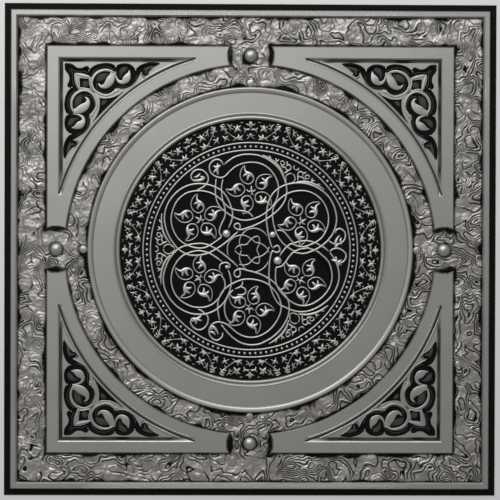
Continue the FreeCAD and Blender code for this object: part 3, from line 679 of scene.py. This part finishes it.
# Lace between the lobes: half of it drawn as (degrees from its middle, radius, width), then mirrored.
laceLook = dict(middles=(61.0, 179.6, 303.0), rise=1.7)
laceHalf = [
    [(22.4, 117.8, 1), (18.5, 115.4, 2.6), (14.8, 112.6, 3), (11.1, 109, 3.4), (8, 105, 3.2),
     (5.6, 101, 2.6), (4, 97.6, 1.2)],
    [(6.1, 111.2, 1.6), (5.6, 113.6, 2.2), (4.4, 114.6, 2.4), (3.2, 113.6, 2.2), (2.7, 111.2, 1.9), (3.2, 108.8, 2.2),
     (4.4, 107.9, 2.2), (5.6, 108.8, 2), (6.1, 111.2, 1.6)],
    [(10.4, 113.6, 1.4), (9.9, 115.3, 1.9), (8.9, 116, 2), (7.9, 115, 1.9), (7.5, 113.4, 1.8), (8, 111.8, 1.9),
     (9.2, 111.4, 1.9), (10.4, 113.6, 1.4)],
    [(5, 113.8, 2.2), (6.2, 115.8, 2.6), (6.8, 118.2, 0.7)],
    [(0, 112.6, 1.8), (1, 113.6, 2), (1.7, 115.4, 1.8), (1.2, 117.4, 0.7)],
    [(0, 106.8, 1.5), (1.7, 105.6, 1.8), (3.2, 102.2, 1.9), (3.2, 97.8, 1.6), (1.9, 93.8, 1)],
    [(3.4, 108.4, 2.2), (4.5, 105.2, 2.6), (5.4, 102.2, 1.4)],
    [(6.2, 110, 2.4), (7.6, 109.2, 2.6), (9.4, 110.4, 1.4)],
    [(12.6, 111.6, 2.6), (12.9, 114.4, 2.8), (14, 117.2, 0.8)],
    [(12.6, 113.6, 2), (11.8, 115.4, 1.8), (11.8, 117.4, 0.7)],
    [(16.8, 114.2, 2.4), (17, 116.4, 2.2), (18.2, 118.2, 0.7)],
    [(0, 92, 1.4), (1.8, 94.6, 1.8), (2.6, 98.6, 0.8)],
]


def buildLace():
    look = laceLook
    bm = bmesh.new()
    for middle in look["middles"]:
        for side in (-1, 1):
            for points in laceHalf:
                addStroke(bm, fromPolar(points, middle, side), look["rise"])
    finishPiece("roseLace", bm, roseTin)


buildLace()

# Rings round the rose, and the row of beads between them.
ringLook = dict(wires=(122.5, 131.6), wireWidth=2.2, wireRise=1.6, beads=120, beadRadius=126.9, beadWidth=3.7,
                beadRise=1.9)
wireSection = [(-1.0, -0.0625), (-0.85, 0.5), (-0.5, 0.85), (0.0, 1.0), (0.5, 0.85), (0.85, 0.5), (1.0, -0.0625)]


def buildRings():
    look = ringLook
    bm = bmesh.new()
    bead = bmesh.ops.create_uvsphere(bm, u_segments=8, v_segments=5, radius=1.0)["verts"]
    bmesh.ops.scale(bm, vec=(look["beadWidth"] / 2, look["beadWidth"] / 2, look["beadRise"]), verts=bead)
    for vert in bead:
        vert.co.z = max(vert.co.z, -sink)
    bmesh.ops.translate(bm, verts=bead, vec=(look["beadRadius"], 0.0, sheet["roseGround"]))
    addTurns(bm, look["beads"])
    half, top = look["wireWidth"] / 2, look["wireRise"]
    for radius in look["wires"]:
        addTurned(bm, [(radius + half * out, sheet["roseGround"] + top * up) for out, up in wireSection])
    finishPiece("roseRings", bm, roseTin)


buildRings()

# The frieze: half a repeat drawn as (degrees from its middle, radius, width) and rise, mirrored and turned.
friezeLook = dict(repeats=12, middle=75.0)
friezeHalf = [
    ([(0.9, 157.4, 1), (1.5, 155.6, 3.4), (2.1, 152.8, 3.8), (2.9, 149.8, 2.8), (3.9, 146.4, 1.7), (5.2, 143, 1.5),
      (6.6, 139.8, 1.9), (7.8, 137.6, 2.8), (9.4, 136.6, 1)], 2.1),
    ([(1.3, 156.4, 1.8), (2.6, 157.4, 2.4), (3.7, 156.2, 0.8)], 2),
    ([(1.8, 154.4, 2.4), (3, 154.6, 2.2), (3.8, 153, 0.7)], 2.2),
    ([(2.3, 152.2, 2.2), (1.2, 151, 1.9), (0.7, 149.2, 0.6)], 1.9),
    ([(2.6, 151.2, 2.2), (3.7, 151, 1.9), (4.2, 149.4, 0.6)], 2),
    ([(3.6, 147, 1.6), (2.8, 145.8, 1.6), (2.6, 144.2, 0.6)], 1.7),
    ([(7.4, 137.2, 3), (8.8, 138.8, 4.4), (9, 141.6, 2.4), (8.8, 143.4, 0.8)], 2.4),
    ([(8.2, 137.4, 3.2), (9.8, 138.2, 3.6), (10.8, 140.2, 1.8), (11.2, 142, 0.7)], 2.2),
    ([(8.4, 136.6, 2.8), (10, 136.2, 2.8), (11.4, 134.9, 0.8)], 1.8),
    ([(7.4, 137.4, 2.2), (6.4, 136, 1.6), (5.2, 135.4, 0.6)], 1.6),
    ([(7, 144.6, 0.9), (7.7, 147, 3.6), (8.6, 149.6, 5), (8.9, 152.4, 3), (8.8, 155.2, 0.8)], 2.4),
    ([(8.6, 149.4, 3.8), (9.7, 147.4, 3.4), (10.4, 144.4, 0.8)], 2.1),
    ([(8.8, 150.6, 3.6), (9.9, 151.8, 2.8), (10.9, 153.2, 0.8)], 2.1),
    ([(8.2, 150.8, 3.2), (7.3, 152.2, 2.2), (6.8, 154.2, 0.7)], 2),
    ([(1, 144.6, 0.8), (1.5, 142, 2.8), (2.3, 139.8, 3.8), (3.7, 138.6, 0.9)], 2.3),
    ([(2.2, 140.8, 3.2), (3.3, 141.8, 2.4), (4.2, 142.8, 0.7)], 1.9),
    ([(2.1, 140.6, 3), (1.9, 137.8, 2.2), (1.2, 135.4, 0.7)], 1.9),
    ([(2.9, 139.6, 2.2), (3.7, 137.6, 1.6), (4.4, 136, 0.6)], 1.7),
    ([(4, 157.4, 0.7), (4.9, 155.2, 2), (5.4, 152.6, 2.8), (5.3, 149.6, 1.8), (5.9, 146.8, 0.6)], 1.8),
    ([(5.2, 153, 2), (6.2, 154.4, 1.8), (6.5, 156.8, 0.6)], 1.6),
    ([(5.4, 151, 1.8), (6.5, 150, 1.6), (6.9, 148.2, 0.6)], 1.6),
    ([(11.9, 157.6, 0.6), (11.2, 156.4, 1.6), (10, 157, 0.6)], 1.4),
    ([(15, 158.2, 2.4), (14.6, 154.6, 3.2), (14.7, 151, 2.2), (15, 149.2, 0.8)], 2.2),
    ([(14.8, 152.8, 2.2), (13.6, 153.6, 2.2), (12.7, 155.4, 0.7)], 1.9),
    ([(15, 147.2, 2.8), (13.8, 147.8, 3), (12.6, 147.2, 3), (12.1, 144.7, 1.7), (12.3, 142.8, 0.6)], 2.1),
    ([(12.7, 147.4, 2.4), (12, 149, 2), (11.5, 150.6, 0.6)], 1.8),
    ([(15, 143.6, 2.4), (14.6, 140.4, 2.4), (13.8, 137.4, 1.7), (12.3, 135.4, 0.6)], 2),
    ([(14.4, 140, 1.6), (13.4, 140.8, 1.6), (12.8, 139.6, 0.6)], 1.7),
]


def buildFrieze():
    look = friezeLook
    bm = bmesh.new()
    for points, rise in friezeHalf:
        addStroke(bm, fromPolar(points, look["middle"], -1), rise, finer=2)
    across = math.radians(look["middle"] - 90.0)
    addMirrored(bm, (math.cos(across), math.sin(across), 0.0))
    addTurns(bm, look["repeats"])
    finishPiece("frieze", bm, friezeTin)


buildFrieze()
print("rose done")

# Scrolls of the four corners: leaves in the volutes, rounded backs on the volutes and the tulip,
# and a rolled edge round the black ground. Points run from the panel's corner along its two sides.
scrollLook = dict(corner=tileHalf - 69.0, diagonal=(math.sqrt(0.5), -math.sqrt(0.5), 0.0), leafRise=1.6,
                  pillowRise=0.75, moatRise=0.9, backRise=0.55, edgeRise=0.42, lineWidth=1.2, filmWidth=3.8,
                  film=0.05)
scrollLeaves = [
    [(46, 28.6, 0.9), (47.3, 31.5, 2.6), (50.5, 33.2, 4.4), (54.8, 32, 7.6), (58.2, 28.6, 10.2), (60.6, 24.6, 10.6),
     (62.6, 20.6, 8.4), (63.6, 17, 7), (63.6, 14.4, 6.2)],
    [(67, 14.2, 1), (67, 17.6, 1.5), (67.9, 22.2, 2.2), (70.6, 26.4, 3.6), (75, 27.6, 5.4), (78.8, 25, 9),
     (81, 21.8, 9.2), (82.6, 18.2, 5.8), (83.4, 15.4, 2.6), (83.3, 12.6, 0.8)],
]
scrollPillows = [
    [(43.6, 27.5, 1.5), (46.5, 23.5, 7), (51, 21, 8.6), (56, 18.4, 4.5), (59.3, 17, 1)],
    [(72.8, 23.4, 1), (72.8, 18.5, 3.2), (75, 13.5, 6.6), (79, 10.8, 5.6), (82.3, 9.8, 1.5)],
    [(26.8, 27, 2), (30.5, 29.5, 7.2), (34.2, 32, 2)],
    [(100.2, 11.8, 1.5), (104.5, 11, 3.8), (110.5, 9.2, 3.8), (119.5, 7.6, 1)],
    [(104.5, 11.5, 2.8), (104, 15, 3), (104, 19, 1)],
    [(49.5, 57, 1), (52.3, 52.3, 5.5), (57, 49.5, 1)],
]
moatLines = [
    [(37.6, 18), (41, 13.3), (46, 9.8), (52, 8.4), (58, 9), (62.5, 11.2), (67, 12.8)],
    [(44.6, 28), (43.4, 31.5), (44.8, 36), (49.2, 39.9), (55, 41.4), (61, 40.6), (66, 37.2),
     (70, 33.8), (76, 33.4), (83, 32.9), (88, 29.6), (91.5, 24), (92.5, 18)],
    [(12, 9.5), (15.4, 13.6), (22, 14.4), (28, 14.4), (33.5, 17.2)],
]
scrollBacks = [
    [(66, 16.4, 1.4), (60, 13.4, 2.4), (53.1, 12.8, 2.8), (43, 17.6, 2.8), (37.7, 28.3, 2.8), (42.2, 38.6, 2.8),
     (53.1, 43.7, 2.8), (60.5, 42.7, 3), (66.5, 38.8, 3.6), (71.5, 37.4, 3.4)],
    [(17.2, 17.2, 1.2), (24, 19.2, 3.4), (31, 20.6, 3.6), (37.4, 22.3, 1.2)],
    [(35.6, 22.8, 1.6), (35.3, 28, 2.2), (37.6, 37.6, 1.8)],
]
scrollEdges = [
    [(4.9, 4.7), (8, 6.3), (12.5, 6.7), (18.7, 11), (25.5, 11.8), (32.3, 9.3), (34, 14)],
    [(34, 14), (42, 8.6), (52, 5.9), (61, 6.4), (67.2, 9.1)],
    [(67.2, 9.1), (72, 6.9), (78.5, 6), (85, 7.6), (91.3, 12.9)],
    [(91.3, 12.9), (98, 7.9), (106.5, 4.9), (114, 4.6), (122, 4.7)],
    [(122, 5.4), (114.5, 9.6), (108.2, 15)],
    [(98.7, 14.9), (99, 18.2), (103, 21), (107, 18.8), (108, 14.9)],
    [(99, 15), (93, 25.9), (88.6, 31.2), (82, 35.2), (75.5, 36.5), (68, 36.5)],
    [(47.5, 47.2), (61, 46.6), (73.9, 40.9)],
]


# Strokes of one arm of a scroll. The arm is then mirrored about the corner's diagonal and turned four times.
def addToCorner(bm, strokes, rise, base, **section):
    corner = scrollLook["corner"]
    for points in strokes:
        addStroke(bm, [(corner - u, corner - v, width) for u, v, width in points], rise, base, **section)


def buildScrolls():
    look = scrollLook
    bm = bmesh.new()
    addToCorner(bm, scrollLeaves, look["leafRise"], sheet["scrollGround"], sides=16, flat=True)
    addToCorner(bm, scrollBacks, look["backRise"], sheet["panel"], sides=10)
    edges = [withWidth(line, look["lineWidth"], 1.0) for line in scrollEdges[4:]]
    addToCorner(bm, edges, look["edgeRise"], sheet["panel"])
    addMirrored(bm, look["diagonal"])
    addTurns(bm, 4)
    finishPiece("cornerScrolls", bm, scrollTin)


# Black along the outer edge of the scroll's ground and by the arc, patina and painted shade: a thin film on the panel.
def buildPatinaAndShadeEdges():
    look = scrollLook
    bm = bmesh.new()
    films = [withWidth(line, look["filmWidth"]) for line in scrollEdges[:4]]
    addToCorner(bm, films, look["film"], sheet["panel"], sides=6)
    addMirrored(bm, look["diagonal"])
    arcFilm = arcPoints(248.5, 38.6, 51.4, [0.8, 2.2, 2.6, 2.6, 2.6, 2.2, 0.8])
    addStroke(bm, arcFilm, look["film"], sheet["panel"], sides=6, finer=4)
    addTurns(bm, 4)
    finishPiece("patinaAndShadeEdges", bm, blackTin)


def buildPillows():
    look = scrollLook
    bm = bmesh.new()
    addToCorner(bm, scrollPillows, look["pillowRise"], sheet["scrollGround"], sides=12, flat=True)
    moats = [withWidth(line, look["lineWidth"], 1.0) for line in moatLines]
    addToCorner(bm, moats, look["moatRise"], sheet["scrollGround"])
    addMirrored(bm, look["diagonal"])
    addTurns(bm, 4)
    finishPiece("scrollPillows", bm, darkTin)


buildPillows()
buildPatinaAndShadeEdges()
buildScrolls()

# Fine raised lines along the rim, at these distances inside its outer edge.
rimLook = dict(lines=(0.3, 2.3, 3.7, 5.0), width=1.0, rise=0.22, bury=0.1)


def buildRimLines():
    look = rimLook
    bm = bmesh.new()
    for inside in look["lines"]:
        reach = sheet["rimOuter"] - inside
        ends = [(-reach, reach, look["width"]), (reach, reach, look["width"])]
        addStroke(bm, ends, look["rise"], sheet["rimTop"] - look["bury"], finer=2)
    addTurns(bm, 4)
    finishPiece("rimLines", bm, plateTin)


buildRimLines()

# Ring mouldings, turned from sections that close inside the sheet, so that nothing shows from behind.
ringSections = [
    [(200.2, 2.25), (199.5, 4.1), (199, 5.3), (198.4, 6.1), (197.8, 6.42), (197, 6.4), (196.2, 6.25), (195.2, 6.12),
     (194.3, 5.85), (193.5, 5.35), (192.9, 4.7), (193, 4.6), (195.2, 5.85), (196.8, 5.85), (199.6, 2.3)],
    [(168.4, 4.3), (167.9, 4.6), (167.3, 4.8), (166.7, 4.62), (166.3, 4.2), (165.9, 3.7), (166.2, 3.65), (167.2, 4.25)],
    [(164.3, 4.1), (163.7, 4.8), (163, 5.2), (162.2, 5.32), (161.4, 5.15), (160.9, 4.75), (160.2, 3.6), (159.5, 2.2),
     (159.9, 2.6), (161.3, 4.75), (163.1, 4.75), (164.1, 3.95)],
]


def buildMouldings():
    bm = bmesh.new()
    for profile in ringSections:
        addTurned(bm, profile)
    finishPiece("ringMouldings", bm, plateTin)


buildMouldings()

# Fine raised lines along both sides of the black groove at the foot of each opening's arc.
archLook = dict(panelLine=246.3, panelSpan=(19.6, 70.4), panelRise=0.65, edgeLine=241.0, edgeSpan=(16.5, 73.5),
                edgeRise=0.6, edgeWidth=1.9, edgeBase=4.3)


def buildArches():
    look = archLook
    bm = bmesh.new()
    panelWidths = [0.8, 3.4, 2.6, 1.7, 1.5, 1.4, 1.4, 1.5, 1.7, 2.6, 3.4, 0.8]
    panelLine = arcPoints(look["panelLine"], *look["panelSpan"], panelWidths)
    edgeLine = arcPoints(look["edgeLine"], *look["edgeSpan"], [look["edgeWidth"]] * 10)
    addStroke(bm, panelLine, look["panelRise"], sheet["panel"], finer=4)
    addStroke(bm, edgeLine, look["edgeRise"], look["edgeBase"], finer=4)
    addTurns(bm, 4)
    finishPiece("archLines", bm, plateTin)


buildArches()

# The four balls in the notches and the four low studs beside the outer moulding.
ballLook = dict(slope=60.0, studFlat=0.4)


def buildBalls():
    bm = bmesh.new()
    foot = sheet["ballRadius"]
    slope = math.radians(ballLook["slope"])
    radius, depth = foot / math.sin(slope), foot / math.tan(slope)
    for size, place, flat in ((foot, sheet["ballCentre"], 1.0),
                              (sheet["studRadius"], sheet["studCentre"], ballLook["studFlat"])):
        scale = size / foot
        made = bmesh.ops.create_uvsphere(bm, u_segments=48, v_segments=24, radius=radius * scale)["verts"]
        bmesh.ops.translate(bm, verts=made, vec=(place, 0.0, -depth * scale))
        for vert in made:
            vert.co.z = sheet["field"] + max(vert.co.z * flat, -0.1)
    bmesh.ops.remove_doubles(bm, verts=bm.verts, dist=0.0001)
    addTurns(bm, 4)
    finishPiece("ballsAndStuds", bm, plateTin)


buildBalls()
print("mouldings done")

# Stage: a plain pale floor, soft light from the upper left and the photograph's camera.
stageLook = dict(
    floorSize=3.0, floorColour=(0.8, 0.8, 0.79, 1.0), worldLevel=0.28,
    lights=(("keyLight", (-0.4, 1.55, 1.35), 2.6, 1.6, 32.5), ("softLight", (-0.5, 0.95, 2.1), 1.9, 1.9, 6.6)),
    lens=93.8, cameraPlace=(-0.0162, 0.0109, 1.6), cameraTurn=(-0.394, -0.564, 0.181),
)


def buildStage():
    look = stageLook
    bm = bmesh.new()
    bmesh.ops.create_grid(bm, x_segments=1, y_segments=1, size=look["floorSize"])
    mesh = bpy.data.meshes.new("floor")
    bm.to_mesh(mesh)
    bm.free()
    floor = bpy.data.objects.new("floor", mesh)
    floor.location.z = -0.0005
    paint = newMaterial("paleFloor")
    shader = paint.node_tree.nodes["Principled BSDF"]
    shader.inputs["Base Color"].default_value = look["floorColour"]
    shader.inputs["Roughness"].default_value = 0.9
    mesh.materials.append(paint)
    bpy.context.scene.collection.objects.link(floor)
    world = bpy.data.worlds.new("studio")
    world.use_nodes = True
    sky = world.node_tree.nodes["Background"]
    sky.inputs["Color"].default_value = (1.0, 1.0, 1.0, 1.0)
    sky.inputs["Strength"].default_value = look["worldLevel"]
    bpy.context.scene.world = world
    for name, place, width, depth, power in look["lights"]:
        lamp = bpy.data.lights.new(name, "AREA")
        lamp.shape = "RECTANGLE"
        lamp.size, lamp.size_y = width, depth
        lamp.energy = power
        light = bpy.data.objects.new(name, lamp)
        light.location = place
        light.rotation_euler = (-Vector(place)).to_track_quat("-Z", "Y").to_euler()
        bpy.context.scene.collection.objects.link(light)
    camera = bpy.data.objects.new("camera", bpy.data.cameras.new("camera"))
    camera.data.lens = look["lens"]  # on a 36 mm frame
    camera.location = look["cameraPlace"]
    camera.rotation_euler = [math.radians(angle) for angle in look["cameraTurn"]]
    bpy.context.scene.collection.objects.link(camera)
    bpy.context.scene.camera = camera
    bpy.context.scene.view_settings.view_transform = "Standard"


buildStage()
print("stage done")
